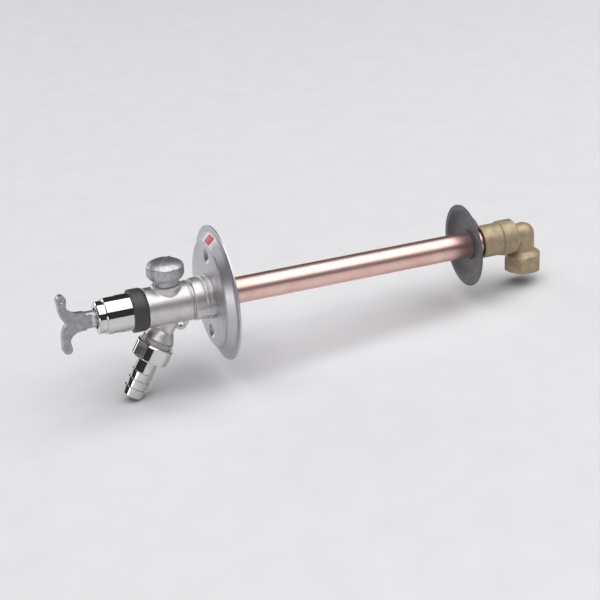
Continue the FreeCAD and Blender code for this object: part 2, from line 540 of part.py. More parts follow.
# two curved lugs stand out behind the dish, above and below the tube
lugCos, lugSin = math.cos(math.radians(19)), math.sin(math.radians(19))
lugIn, lugOut = sizes["lugInner"], sizes["lugOuter"]
for number, turn in enumerate(("76", "256")):
    lug = newSketch(rear, "XZ_Plane", f"lugOutline{number}", ("0", "0", "-lugMiddle"), turn)
    trace(lug, [(f"{lugOut * lugCos:.3f}", f"{-lugOut * lugSin:.3f}", "lugOuter", 1),
                (f"{lugOut * lugCos:.3f}", f"{lugOut * lugSin:.3f}"),
                (f"{lugIn * lugCos:.3f}", f"{lugIn * lugSin:.3f}", "lugInner", -1),
                (f"{lugIn * lugCos:.3f}", f"{-lugIn * lugSin:.3f}")])
    extruded(rear, lug, f"lug{number}", "Pad", "3.6")

sleeve("tube_seal", "tubeRadius + 0.02", "sealRadius - 0.05", "socketFront + 1.2", "sealBack - 0.05")

elbow = newBody("elbow")
spun(elbow, [
    ("0", "socketFront"), ("socketRadius - 0.6", "socketFront"), ("socketRadius", "socketFront + 0.6"),
    ("socketRadius", "bandFront"), ("bandRadius", "bandFront + 0.8"), ("bandRadius", "bandBack - 1.5"),
    ("bandRadius - 1.6", "bandBack"), ("legRadius - 0.4", "bandBack"), ("legRadius - 0.4", "legAt - 1"),
    ("0", "legAt - 1")], "socket")
spun(elbow, [
    ("0", "hexBottom"), ("hexFlat", "hexBottom"), ("hexCorner", "hexBottom + 1.3"),
    ("hexCorner", "hexTop - 3.4"), ("hexFlat", "hexTop"), ("legRadius", "hexTop + 3.6"),
    ("legRadius", "0", "legRadius", 1),
    ("0", "legRadius")],
    "leg", "YZ_Plane", shift=("legAt", "0", "0"))
flats(elbow, "hexFlat", "XY_Plane", 6, "hexFlat", "hexCorner", "40", ("0", "legAt", "hexBottom"))
spun(elbow, [("0", "socketFront"), ("sealRadius", "socketFront"), ("sealRadius", "sealBack"),
             ("tubeRadius + 0.05", "sealBack"),
             ("tubeRadius + 0.05", "tubeBack + 0.5"), ("legBore", "tubeBack + 0.5"),
             ("legBore", "legAt - 1"), ("0", "legAt - 1")],
     "tubeSocket", kind="Groove")
spun(elbow, [("0", "hexBottom"), ("femaleRadius", "hexBottom"), ("femaleRadius", "hexBottom + 14"),
             ("legBore + 0.3", "hexBottom + 15.5"),
             ("legBore + 0.3", "0"), ("0", "4.5")], "supplyWay", "YZ_Plane", "Groove", ("legAt", "0", "0"))

doc.recompute()
os.makedirs("parts", exist_ok=True)
for body in parts:
    body.recompute()
bad = [o.Name for o in doc.Objects if "Invalid" in o.State or "Error" in o.State]
bad += [body.Label for body in parts if body.Shape.isNull() or not body.Shape.isValid()]
if bad:
    raise RuntimeError("not built: " + ", ".join(bad))
for body in parts:
    body.Shape.exportStep(f"parts/{body.Label}.step")
    box = body.Shape.BoundBox
    print(f"{body.Label:16s} {len(body.Shape.Solids)} solid(s)  x {box.XMin:7.1f} {box.XMax:7.1f}"
          f"  y {box.YMin:7.1f} {box.YMax:7.1f}  z {box.ZMin:7.1f} {box.ZMax:7.1f}")
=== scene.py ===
import json
import math
import bmesh
import bpy
import numpy as np
from mathutils import Euler, Matrix, Vector


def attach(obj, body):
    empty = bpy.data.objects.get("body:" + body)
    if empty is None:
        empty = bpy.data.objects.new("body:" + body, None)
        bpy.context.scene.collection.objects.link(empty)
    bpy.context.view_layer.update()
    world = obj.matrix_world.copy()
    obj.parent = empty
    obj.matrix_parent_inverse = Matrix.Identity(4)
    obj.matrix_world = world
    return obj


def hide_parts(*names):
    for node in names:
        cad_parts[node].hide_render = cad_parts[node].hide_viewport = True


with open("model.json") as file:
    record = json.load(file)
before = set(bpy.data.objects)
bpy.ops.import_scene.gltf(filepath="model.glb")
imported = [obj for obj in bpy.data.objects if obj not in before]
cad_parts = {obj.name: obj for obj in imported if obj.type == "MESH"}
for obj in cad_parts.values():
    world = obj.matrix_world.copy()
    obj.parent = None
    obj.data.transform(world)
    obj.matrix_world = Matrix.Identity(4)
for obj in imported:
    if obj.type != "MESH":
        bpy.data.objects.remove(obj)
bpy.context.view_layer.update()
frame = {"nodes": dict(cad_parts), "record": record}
mm = 0.001
nodes = frame["nodes"]
print("frame loaded:", len(nodes), "nodes")

outletTurn = math.radians(180 - 30.6)  # the branch leans 30.6 degrees forward of straight down
outletPlace = Matrix.Translation((0, -36.6 * mm, 0)) @ Matrix.Rotation(outletTurn, 4, "X")
tubePlace = Matrix.Rotation(math.radians(-90), 4, "X")  # carries +Z onto +Y, for pieces turned about the tube
bossPlace = Matrix.Translation((0, -43.6 * mm, 0))


def linearColour(hexText, alpha=1.0):
    # sRGB hex to the linear values that shaders take
    srgb = np.array([int(hexText[i:i + 2], 16) for i in (1, 3, 5)]) / 255
    linear = np.where(srgb <= 0.04045, srgb / 12.92, ((srgb + 0.055) / 1.055) ** 2.4)
    return (*linear.tolist(), alpha)


def addNode(tree, kind, links=None, **settings):
    # one node: plain settings by name, sockets by number or name with a value or another node's output
    made = tree.nodes.new(kind)
    for name, value in settings.items():
        setattr(made, name, value)
    for socket, value in (links or {}).items():
        if isinstance(value, bpy.types.NodeSocket):
            tree.links.new(value, made.inputs[socket])
        else:
            made.inputs[socket].default_value = value
    return made


def surfacePosition(tree, look):
    # where a point lies for its pattern: as cast, along the drawing direction, or round the lathe's axis
    place = addNode(tree, "ShaderNodeTexCoord").outputs["Object"]
    if "axisPlace" in look:
        back = look["axisPlace"].inverted()
        place = addNode(tree, "ShaderNodeMapping", {"Vector": place, "Location": back.to_translation(),
                                                    "Rotation": back.to_euler()}).outputs[0]
    if look["made"] == "drawn":
        streaks = {0: place, 1: (1, look["streak"], 1)}  # the pattern is pulled out along the tube
        return addNode(tree, "ShaderNodeVectorMath", streaks, operation="MULTIPLY").outputs[0]
    if look["made"] == "turned":  # in these pieces' own frame the lathe axis is Z
        axes = addNode(tree, "ShaderNodeSeparateXYZ", {0: place})
        flat = addNode(tree, "ShaderNodeCombineXYZ", {0: axes.outputs[0], 1: axes.outputs[1]})
        radius = addNode(tree, "ShaderNodeVectorMath", {0: flat.outputs[0]}, operation="LENGTH")
        angle = addNode(tree, "ShaderNodeMath", {0: axes.outputs[1], 1: axes.outputs[0]}, operation="ARCTAN2")
        around = addNode(tree, "ShaderNodeMath", {0: angle.outputs[0], 1: look["lapMm"] * mm},
                         operation="MULTIPLY")
        return addNode(tree, "ShaderNodeCombineXYZ", {0: radius.outputs["Value"], 1: around.outputs[0],
                                                      2: axes.outputs[2]}).outputs[0]
    return place


def finish(name, look):
    # a surface: two tones that drift over patches, a fine grain that changes gloss and height,
    # and bright worn edges
    material = bpy.data.materials.new(name)
    material.use_nodes = True
    tree = material.node_tree
    shader = tree.nodes["Principled BSDF"]
    position = surfacePosition(tree, look)
    still = addNode(tree, "ShaderNodeTexCoord").outputs["Object"]
    patches = addNode(tree, "ShaderNodeTexNoise", {"Vector": still, "Scale": 1 / (look["patchMm"] * mm),
                                                   "Detail": 4.0, "Roughness": 0.6})
    grain = addNode(tree, "ShaderNodeTexNoise", {"Vector": position, "Scale": 1 / (look["grainMm"] * mm),
                                                 "Detail": 3.0, "Roughness": 0.65})
    spread = addNode(tree, "ShaderNodeMapRange", {0: patches.outputs["Fac"], 1: 0.35, 2: 0.65})
    tone = addNode(tree, "ShaderNodeMix", {0: spread.outputs[0], 6: linearColour(look["colour"]),
                                           7: linearColour(look["second"])}, data_type="RGBA")
    colour = tone.outputs[2]
    if "speck" in look:
        specks = addNode(tree, "ShaderNodeMapRange",
                         {0: grain.outputs["Fac"], 1: 0.5, 2: 0.72, 4: look["speckShare"]})
        colour = addNode(tree, "ShaderNodeMix",
                         {0: specks.outputs[0], 6: colour, 7: linearColour(look["speck"])},
                         data_type="RGBA").outputs[2]
    if "worn" in look:
        edge = addNode(tree, "ShaderNodeNewGeometry").outputs["Pointiness"]
        rub = addNode(tree, "ShaderNodeMapRange", {0: edge, 1: 0.52, 2: 0.62, 4: look["wornShare"]})
        colour = addNode(tree, "ShaderNodeMix", {0: rub.outputs[0], 6: colour, 7: linearColour(look["worn"])},
                         data_type="RGBA").outputs[2]
    tree.links.new(colour, shader.inputs["Base Color"])
    gloss = addNode(tree, "ShaderNodeMix", {0: 0.5, 2: patches.outputs["Fac"], 3: grain.outputs["Fac"]})
    rough = addNode(tree, "ShaderNodeMapRange", {0: gloss.outputs[0], 1: 0.3, 2: 0.7, 3: look["roughness"][0],
                                                 4: look["roughness"][1]})
    tree.links.new(rough.outputs[0], shader.inputs["Roughness"])
    relief = addNode(tree, "ShaderNodeBump", {"Height": grain.outputs["Fac"], "Strength": 0.6,
                                              "Distance": look["reliefMm"] * mm})
    tree.links.new(relief.outputs[0], shader.inputs["Normal"])
    shader.inputs["Metallic"].default_value = look["metallic"]
    return material


looks = {
    # chrome on polished brass: a hard mirror, with only the faintest haze from handling
    "chromePlate": {"made": "cast", "metallic": 1.0, "colour": "#d9d7d5", "second": "#d0cecd", "patchMm": 14,
                    "grainMm": 0.8, "roughness": (0.035, 0.085), "reliefMm": 0.001},
    # brass casting, bead-blasted and nickel-plated: even and silky; its grain, a tenth of a millimetre or two,
    # is drawn coarser so that it shows, as on the other castings
    "satinNickel": {"made": "cast", "metallic": 1.0, "colour": "#dedbda", "second": "#d3d0cf", "patchMm": 7,
                    "grainMm": 0.9, "roughness": (0.36, 0.52), "reliefMm": 0.1, "speck": "#8f8a87",
                    "speckShare": 0.4, "worn": "#ebe9e6", "wornShare": 0.5},
    # zinc die casting of the breaker's cap, plated over a coarser skin
    "satinCap": {"made": "cast", "metallic": 1.0, "colour": "#c6c5c8", "second": "#b3b2b6", "patchMm": 4,
                 "grainMm": 1.0, "roughness": (0.34, 0.52), "reliefMm": 0.16, "speck": "#77767b",
                 "speckShare": 0.5, "worn": "#e6e6e8", "wornShare": 0.6},
    # zinc die casting of the key, tumbled: dull, slightly mottled, brighter on its rubbed edges
    "tumbledZinc": {"made": "cast", "metallic": 0.95, "colour": "#c0bfc4", "second": "#a9a8ad",
                    "patchMm": 3.5, "grainMm": 1.1, "roughness": (0.32, 0.5), "reliefMm": 0.12,
                    "speck": "#747378", "speckShare": 0.45, "worn": "#dcdce0", "wornShare": 0.7},
    # stainless sheet spun to a dish and polished: faint rings round its centre
    "spunStainless": {"made": "turned", "axisPlace": tubePlace, "metallic": 1.0, "colour": "#cccbd0",
                      "second": "#c1c0c5", "patchMm": 30, "grainMm": 0.9, "roughness": (0.34, 0.46),
                      "reliefMm": 0.006, "lapMm": 0.4},
    # glass-filled nylon collar, moulded with a fine even grain
    "mouldedNylon": {"made": "cast", "metallic": 0.0, "colour": "#404044", "second": "#39393d", "patchMm": 10,
                     "grainMm": 0.5, "roughness": (0.4, 0.55), "reliefMm": 0.02},
    # soft grey plastic of the inner rosette
    "softPlastic": {"made": "cast", "metallic": 0.0, "colour": "#626267", "second": "#58585d", "patchMm": 14,
                    "grainMm": 0.7, "roughness": (0.36, 0.52), "reliefMm": 0.02},
    # copper tube, drawn: streaks along its length and the first brown of handling
    "drawnCopper": {"made": "drawn", "metallic": 1.0, "colour": "#f0cec6", "second": "#e4bcb2", "patchMm": 22,
                    "grainMm": 0.7, "roughness": (0.3, 0.42), "reliefMm": 0.006, "streak": 0.012},
    # brass elbow, hot-pressed and left raw: matte, blotchy, with dark pits and pale rubbed edges
    "pressedBrass": {"made": "cast", "metallic": 0.7, "colour": "#bcab90", "second": "#ab9a7d", "patchMm": 6,
                     "grainMm": 0.7, "roughness": (0.5, 0.66), "reliefMm": 0.05, "speck": "#6d5c41",
                     "speckShare": 0.35, "worn": "#d8c8a4", "wornShare": 0.5},
    # brass turned on a lathe: bright, its tool marks too fine to show but as an even haze
    "turnedBrass": {"made": "cast", "metallic": 1.0, "colour": "#d3b46c", "second": "#c5a55e", "patchMm": 9,
                    "grainMm": 0.3, "roughness": (0.2, 0.32), "reliefMm": 0.006},
    # drawn steel pin and screw
    "drawnSteel": {"made": "cast", "metallic": 1.0, "colour": "#a6a7a9", "second": "#98999c", "patchMm": 6,
                   "grainMm": 0.3, "roughness": (0.22, 0.36), "reliefMm": 0.005},
    # nitrile seal rings, moulded
    "mouldedRubber": {"made": "cast", "metallic": 0.0, "colour": "#1b1b1b", "second": "#232323", "patchMm": 5,
                      "grainMm": 0.4, "roughness": (0.5, 0.7), "reliefMm": 0.02},
    # acetal valve pieces, moulded, off-white
    "mouldedAcetal": {"made": "cast", "metallic": 0.0, "colour": "#dedcd5", "second": "#d3d0c8", "patchMm": 7,
                      "grainMm": 0.4, "roughness": (0.3, 0.42), "reliefMm": 0.01},
    # closed-cell foam gasket, cut
    "cutFoam": {"made": "cast", "metallic": 0.0, "colour": "#2c2c2c", "second": "#363636", "patchMm": 4,
                "grainMm": 0.9, "roughness": (0.8, 0.95), "reliefMm": 0.15},
    # red vinyl film with no lettering
    "redFilm": {"made": "cast", "metallic": 0.0, "colour": "#c1272b", "second": "#b42226", "patchMm": 4,
                "grainMm": 0.4, "roughness": (0.28, 0.4), "reliefMm": 0.004},
}
materials = {name: finish(name, look) for name, look in looks.items()}
slotLooks = {
    "chrome": "chromePlate", "satin_nickel": "satinNickel", "cap_metal": "satinCap",
    "key_zinc": "tumbledZinc", "stainless": "spunStainless", "dark_plastic": "mouldedNylon",
    "rear_grey": "softPlastic", "copper": "drawnCopper", "raw_brass": "pressedBrass",
    "turned_brass": "turnedBrass", "steel": "drawnSteel", "rubber": "mouldedRubber",
    "pale_plastic": "mouldedAcetal", "foam": "cutFoam", "red_label": "redFilm",
}
nodeSlots = {part["node"]: part["material_slot"] for part in frame["record"]["subparts"]}
for nodeName, cadNode in nodes.items():
    cadNode.data.materials.clear()
    cadNode.data.materials.append(materials[slotLooks[nodeSlots[nodeName]]])
print("materials made:", len(materials))


def declare(piece, nodeName, replaced=True):
    # every piece moves with its node's body and takes that node's finish
    body = next(b for b, members in frame["record"]["behaviour"]["bodies"].items() if nodeName in members)
    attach(piece, body)
    if replaced:
        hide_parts(nodeName)
    piece.data.materials.clear()
    piece.data.materials.append(materials[slotLooks[nodeSlots[nodeName]]])


weldReach = {"grid": 2e-6, "cast": 1e-6}  # metres: points closer than this are one


def gridPiece(name, points, place=Matrix.Identity(4), drop=None, closedAlong=True):
    # points is a grid in millimetres (along, round, 3): neighbours join into quads, round always wraps,
    # and along wraps unless closedAlong is off
    rows, columns = points.shape[:2]
    corners = points.reshape(-1, 3) * mm
    turn = np.array(place.to_3x3())
    corners = corners @ turn.T + np.array(place.to_translation())
    i, j = np.meshgrid(np.arange(rows if closedAlong else rows - 1), np.arange(columns), indexing="ij")
    nextI, nextJ = (i + 1) % rows, (j + 1) % columns
    quads = np.stack([i * columns + j, i * columns + nextJ, nextI * columns + nextJ, nextI * columns + j],
                     axis=-1).reshape(-1, 4)
    if drop:
        quads = quads[~drop(corners[quads].mean(axis=1) / mm)]
    mesh = bpy.data.meshes.new(name)
    mesh.from_pydata(corners.tolist(), [], quads.tolist())
    mesh.validate()
    shell = bmesh.new()
    shell.from_mesh(mesh)
    bmesh.ops.remove_doubles(shell, verts=shell.verts, dist=weldReach["grid"])
    bmesh.ops.recalc_face_normals(shell, faces=shell.faces)
    shell.to_mesh(mesh)
    shell.free()
    mesh.polygons.foreach_set("use_smooth", np.ones(len(mesh.polygons), dtype=bool))
    piece = bpy.data.objects.new(name, mesh)
    bpy.context.scene.collection.objects.link(piece)
    return piece


cornerEase = {"steps": 4, "edgeShare": 0.42, "supportReach": 1.3, "supportShare": 0.48}


def softened(outline, radius):
    # closed outline with each corner eased: a quadratic curve from one edge to the next, whose control point
    # is the corner, and a support point on either side
    corner = np.array([p[:2] for p in outline], float)
    reach = np.array([p[2] if len(p) > 2 else radius for p in outline], float)[:, None]
    before = np.roll(corner, 1, axis=0) - corner
    after = np.roll(corner, -1, axis=0) - corner
    lengthBefore = np.linalg.norm(before, axis=1, keepdims=True)
    lengthAfter = np.linalg.norm(after, axis=1, keepdims=True)
    start = np.minimum(reach, cornerEase["edgeShare"] * lengthBefore)
    stop = np.minimum(reach, cornerEase["edgeShare"] * lengthAfter)
    share = np.linspace(0, 1, cornerEase["steps"])[None, :, None]
    enter = corner + before / lengthBefore * start
    leave = corner + after / lengthAfter * stop
    curve = ((1 - share) ** 2 * enter[:, None] + 2 * share * (1 - share) * corner[:, None]
             + share ** 2 * leave[:, None])
    further, most = cornerEase["supportReach"], cornerEase["supportShare"]
    supportBefore = corner + before / lengthBefore * np.minimum(further * start, most * lengthBefore)
    supportAfter = corner + after / lengthAfter * np.minimum(further * stop, most * lengthAfter)
    return np.concatenate([supportBefore[:, None], curve, supportAfter[:, None]], axis=1).reshape(-1, 2)


def divided(outline, step):
    # outline with its long edges cut to pieces of about one step, so that flats can bite into them
    nextPoint = np.roll(outline, -1, axis=0)
    counts = np.maximum(1, np.ceil(np.linalg.norm(nextPoint - outline, axis=1) / step)).astype(int)
    first = np.repeat(outline, counts, axis=0)
    span = np.repeat(nextPoint - outline, counts, axis=0)
    inEdge = np.arange(counts.sum()) - np.repeat(np.cumsum(counts) - counts, counts)
    return first + span * (inEdge / np.repeat(counts, counts))[:, None]


def turnedPiece(name, shape, place, bite=None, drop=None):
    # the outline, (radius, station, own ease) in millimetres, carried round the station axis: x and y are the
    # radius times the angle's cosine and sine; bite changes a point's radius by its angle and station
    profile = softened(shape["outline"], shape["ease"])
    if "step" in shape:
        profile = divided(profile, shape["step"])
    around = shape.get("around", 144)
    angle = np.linspace(0, 2 * math.pi, around, endpoint=False)[None, :]
    reach = np.repeat(profile[:, :1], around, axis=1)
    station = np.repeat(profile[:, 1:], around, axis=1)
    if bite:
        reach = bite(reach, angle, station)
    points = np.stack([reach * np.cos(angle), reach * np.sin(angle), station], axis=-1)
    return gridPiece(name, points, place, drop=drop)


def flatBite(flats):
    # flats round a turned blank: the smaller of the turned radius and the flat's distance along the ray,
    # eased where they meet
    def bite(reach, angle, station):
        sector = 2 * math.pi / flats["count"]
        fromFlat = (angle - math.radians(flats["turn"]) + sector / 2) % sector - sector / 2
        flat = flats["across"] / np.cos(fromFlat)
        eased = -flats["ease"] * np.logaddexp(-reach / flats["ease"], -flat / flats["ease"])
        stillRound = (station < flats["front"]) | (station > flats["back"]) | (reach < flats["above"])
        return np.where(stillRound, reach, eased)
    return bite


def castCopy(name, nodeName, shape, drop=None):
    # a node's own solid as a casting: merged, rebuilt on an even net, then relaxed so that corners and roots
    # are round
    mesh = nodes[nodeName].data.copy()
    shell = bmesh.new()
    shell.from_mesh(mesh)
    bmesh.ops.remove_doubles(shell, verts=shell.verts, dist=weldReach["cast"])
    bmesh.ops.recalc_face_normals(shell, faces=shell.faces)
    shell.to_mesh(mesh)
    shell.free()
    piece = bpy.data.objects.new(name, mesh)
    bpy.context.scene.collection.objects.link(piece)
    net = piece.modifiers.new("net", "REMESH")
    net.mode = "VOXEL"
    net.voxel_size = shape["voxelMm"] * mm
    net.use_smooth_shade = True
    relax = piece.modifiers.new("relax", "SMOOTH")
    relax.factor = shape["factor"]
    relax.iterations = shape["rounds"]
    bpy.context.view_layer.update()
    built = bpy.data.meshes.new_from_object(piece.evaluated_get(bpy.context.evaluated_depsgraph_get()))
    piece.modifiers.clear()
    piece.data = built
    if drop:
        shell = bmesh.new()
        shell.from_mesh(built)
        shell.faces.ensure_lookup_table()
        centres = np.array([face.calc_center_median() for face in shell.faces]) / mm
        gone = [shell.faces[index] for index in np.flatnonzero(drop(centres))]
        bmesh.ops.delete(shell, geom=gone, context="FACES")
        shell.to_mesh(built)
        shell.free()
    built.polygons.foreach_set("use_smooth", np.ones(len(built.polygons), dtype=bool))
    print(f"{name}: {len(built.polygons)} faces")
    return piece


def bead(name, path, shape, place):
    # a low bead along a path in the XZ plane: an ellipse carried along it, its height along the path's normal
    # and its width along Y, both thinning to nothing at the ends
    along = np.gradient(path, axis=0)
    along /= np.linalg.norm(along, axis=1, keepdims=True)
    outward = np.stack([along[:, 1], -along[:, 0]], axis=1)
    taper = np.clip(np.sin(np.linspace(0, math.pi, len(path))) * shape["endSlope"], 0, 1)[:, None]
    around = np.linspace(0, 2 * math.pi, 12, endpoint=False)[None, :]
    out = shape["height"] * taper * np.cos(around)
    points = np.stack([path[:, :1] + outward[:, :1] * out, shape["width"] * taper * np.sin(around),
                       path[:, 1:] + outward[:, 1:] * out], axis=-1)
    return gridPiece(name, points, place, closedAlong=False)


def roundedUnit(power):
    # a two-wide block with soft edges: a sphere's directions with each coordinate raised to a small power
    across = np.linspace(-math.pi / 2, math.pi / 2, 41)[:, None]
    around = np.linspace(0, 2 * math.pi, 48, endpoint=False)[None, :]
    unit = np.stack([np.cos(across) * np.cos(around), np.cos(across) * np.sin(around),
                     np.repeat(np.sin(across), 48, axis=1)], axis=-1)
    return np.sign(unit) * np.abs(unit) ** power


keyShape = {"voxelMm": 0.28, "rounds": 4, "factor": 0.5}
declare(castCopy("keyCasting", "key_handle", keyShape), "key_handle")
print("key made")

bonnetShape = {
    "outline": [
        (8.7, -92.5), (8.7, -104.3, 0.2), (12.2, -104.3, 0.4), (13.4, -103.3, 0.5), (13.4, -97.6, 0.2),
        (15.0, -97.6, 0.3), (15.5, -97.0, 0.3), (15.5, -64.0, 0.2), (13.1, -64.0), (13.1, -75.0),
        (9.5, -75.0), (9.5, -86.0), (5.06, -86.0), (5.06, -92.5),
    ],
    "ease": 0.15, "around": 192, "step": 0.8,
}
spannerFlat = {"turn": -115, "across": 14.85, "front": -97.7, "back": -85.8, "runOut": -87.5,
               "runLength": 1.6, "rise": 0.7, "half": 0.6, "above": 14}


def spannerBite(reach, angle, station):
    # two shallow flats under and over the bonnet's front end: the smaller of the turned radius and the flat's
    # distance along the ray, and the flat runs out at the back; turn is in degrees and half in radians
    half = spannerFlat["half"]
    fromFlat = (angle - math.radians(spannerFlat["turn"]) + math.pi / 2) % math.pi - math.pi / 2
    ramp = np.clip((station - spannerFlat["runOut"]) / spannerFlat["runLength"], 0, 1)
    depth = spannerFlat["across"] + ramp * spannerFlat["rise"]
    flat = depth / np.cos(np.clip(fromFlat, -half, half))
    cut = (station > spannerFlat["front"]) & (station < spannerFlat["back"])
    cut = cut & (reach > spannerFlat["above"]) & (np.abs(fromFlat) < half)
    return np.where(cut, np.minimum(reach, flat), reach)


declare(turnedPiece("bonnetShell", bonnetShape, tubePlace, spannerBite), "bonnet")
collarShape = {
    "outline": [(15.6, -75.8), (17.3, -75.8, 0.4), (17.8, -75.2, 0.4), (17.8, -66.2, 0.8), (16.9, -64.0, 0.5),
                (15.6, -64.0)],
    "ease": 0.2,
}
declare(turnedPiece("collarRing", collarShape, tubePlace), "collar_ring")
print("bonnet and collar made")

castShape = {"voxelMm": 0.42, "rounds": 3, "factor": 0.5, "hubFrom": -25.3, "threadFrom": 32.9}
outletAxis = np.array(outletPlace.to_3x3()) @ np.array([0, 0, 1])
outletStart = np.array(outletPlace.to_translation()) / mm


def offCasting(centres):
    # the cast net is too coarse for the thread and for the hub's crisp flats, so both are turned pieces of
    # their own and the casting is open there
    alongBranch = (centres - outletStart) @ outletAxis
    return (alongBranch > castShape["threadFrom"]) | (centres[:, 1] > castShape["hubFrom"])


declare(castCopy("tapCasting", "valve_body", castShape, offCasting), "valve_body")

spannerWedge = {"corners": ((12.9, 11.8), (20.0, -1.8), (19.6, -8.0), (12.5, -12.2)), "above": 16.4,
                "ease": 0.12, "grazing": 0.2}


def wedgeBite():
    # spanner flats that stand out from the round: each is a straight edge's distance along the ray, and of
    # one side's edges the nearest counts; the larger of that and the turned radius wins, and they blend
    corners = np.array(spannerWedge["corners"])
    ease = spannerWedge["ease"]
    edge = np.roll(corners, -1, axis=0)[:-1] - corners[:-1]
    outward = np.stack([-edge[:, 1], edge[:, 0]], axis=1)
    outward *= np.sign((outward * corners[:-1]).sum(axis=1))[:, None]
    outward /= np.linalg.norm(outward, axis=1, keepdims=True)
    reachTo = (outward * corners[:-1]).sum(axis=1)

    def bite(reach, angle, station):
        ray = np.stack([np.cos(angle), -np.sin(angle)], axis=-1)  # the turned pieces run the other way round
        wedge = np.zeros_like(reach)
        for side in (1, -1):
            turned = ray * side
            fromFirst = corners[0, 0] * turned[..., 1] - corners[0, 1] * turned[..., 0]
            fromLast = corners[-1, 0] * turned[..., 1] - corners[-1, 1] * turned[..., 0]
            facing = np.maximum(turned @ outward.T, spannerWedge["grazing"])
            nearest = (reachTo / facing).min(axis=-1)
            wedge = np.where((fromFirst < 0) & (fromLast > 0) & (turned[..., 0] > 0), nearest, wedge)
        return np.where(reach > spannerWedge["above"], ease * np.logaddexp(reach / ease, wedge / ease), reach)
    return bite


hubShape = {
    "outline": [(11.02, -25.6), (15.2, -25.6), (15.2, -24.4, 0.2), (16.9, -24.4, 0.3), (17.5, -23.8, 0.4),
                (17.5, -16.4, 0.15), (17.2, -16.1, 0.1), (11.02, -16.1)],
    "ease": 0.1, "around": 360, "step": 0.5,
}
declare(turnedPiece("tapHub", hubShape, tubePlace, wedgeBite()), "valve_body", replaced=False)
threadShape = {"first": 33.6, "pitch": 1.8, "turns": 6, "crest": 13.2, "root": 12.1, "ease": 0.1}
threadRidge = (("root", 0), ("crest", 0.55), ("crest", 0.85), ("root", 1.4))  # one ridge: height, station
ridgePoints = [(threadShape[height], turn * threadShape["pitch"] + threadShape["first"] + along, 0.15)
               for turn in range(threadShape["turns"]) for height, along in threadRidge]
threadShape["outline"] = [
    (7.2, 31.0), (11.8, 31.0, 0.1), (12.5, 32.7, 0.3), *ridgePoints, (threadShape["root"], 45.0, 0.2),
    (9.5, 45.0, 0.2), (9.5, 34.0), (7.2, 34.0),
]
declare(turnedPiece("outletThread", threadShape, outletPlace), "valve_body", replaced=False)
flangeShape = {
    "outline": [(11.1, -16.0), (17.2, -16.0, 0.1), (17.5, -15.6, 0.2), (17.5, -15.3, 0.2), (18.6, -14.8, 0.4),
                (18.6, -13.2, 0.5), (17.7, -12.7, 0.3), (17.7, -11.8, 0.3), (18.8, -11.4, 0.4),
                (18.8, -8.5, 0.3), (11.1, -8.5)],
    "ease": 0.1, "around": 360, "step": 0.5,
}
declare(turnedPiece("flangeNut", flangeShape, tubePlace, wedgeBite()), "flange_nut")
print("tap body and flange nut made")

capShape = {
    "outline": [
        (5.5, 12.0), (7.45, 12.0), (7.45, 18.5), (10.0, 18.5, 0.2), (10.0, 22.8, 0.6), (13.0, 23.4, 0.8),
        (15.4, 26.8, 0.9), (15.4, 34.0, 0.7), (14.2, 35.5, 1.2), (10.4, 37.6, 2.0), (5.4, 38.7, 2.0),
        (0.02, 39.0), (0.02, 34.0), (2.1, 34.0), (2.1, 23.8), (5.5, 23.8),
    ],
    "ease": 0.15, "around": 240, "step": 0.35,
}
capFlats = {"count": 8, "across": 14.9, "turn": 13, "front": 20, "back": 36.5, "above": 11.5, "ease": 0.1}
declare(turnedPiece("breakerCap", capShape, bossPlace, flatBite(capFlats)), "breaker_cap")

# the two halves of the cap's mould leave a bead up one side, over the dome and down the other: the dome's
# height falls with the square of the distance from its middle, and at its edge with the ninth power
partingShape = {"turn": -37.0, "width": 0.4, "height": 0.35, "reach": 15.3, "side": 15.25, "sideLow": 27.2,
                "sideHigh": 33.6, "domeTop": 39.0, "domeFall": 0.0118, "edgeFall": 2.6, "endSlope": 6}
domeAcross = np.linspace(-partingShape["reach"], partingShape["reach"], 90)
domeHeight = (partingShape["domeTop"] - partingShape["domeFall"] * domeAcross ** 2
              - partingShape["edgeFall"] * (np.abs(domeAcross) / partingShape["reach"]) ** 9)
sides = np.linspace(partingShape["sideLow"], partingShape["sideHigh"], 14)
sideReach = np.full_like(sides, partingShape["side"])
partingPath = np.concatenate([np.stack([-sideReach, sides], 1), np.stack([domeAcross, domeHeight], 1),
                              np.stack([sideReach, sides[::-1]], 1)])
partingPlace = bossPlace @ Matrix.Rotation(math.radians(partingShape["turn"]), 4, "Z")
declare(bead("capParting", partingPath, partingShape, partingPlace), "breaker_cap", replaced=False)
print("breaker cap made")

unionShape = {
    "outline": [
        (13.3, 38.2), (15.1, 38.2, 0.3), (16.3, 39.6, 0.3), (16.3, 51.2, 0.3), (15.4, 52.1, 0.3),
        (8.95, 52.1, 0.2), (8.95, 49.8), (13.3, 49.8),
    ],
    "ease": 0.15, "around": 360, "step": 0.35,
}
unionFlats = {"count": 6, "across": 15.35, "turn": 0, "front": 38, "back": 52.3, "above": 13.6, "ease": 0.05}
declare(turnedPiece("unionNut", unionShape, outletPlace, flatBite(unionFlats)), "union_nut")
hoseShape = {
    "outline": [
        (6.5, 47.0), (13.0, 47.0), (13.0, 49.7), (8.75, 49.7), (8.75, 64.0, 0.2), (9.62, 64.1, 0.12),
        (8.45, 71.4, 0.2), (9.62, 71.55, 0.12), (8.45, 78.85, 0.2), (9.62, 79.0, 0.12), (8.4, 86.3, 0.5),
        (6.5, 86.3, 0.4),
    ],
    "ease": 0.12,
}
declare(turnedPiece("hoseTail", hoseShape, outletPlace), "hose_tail")
print("union nut and hose tail made")

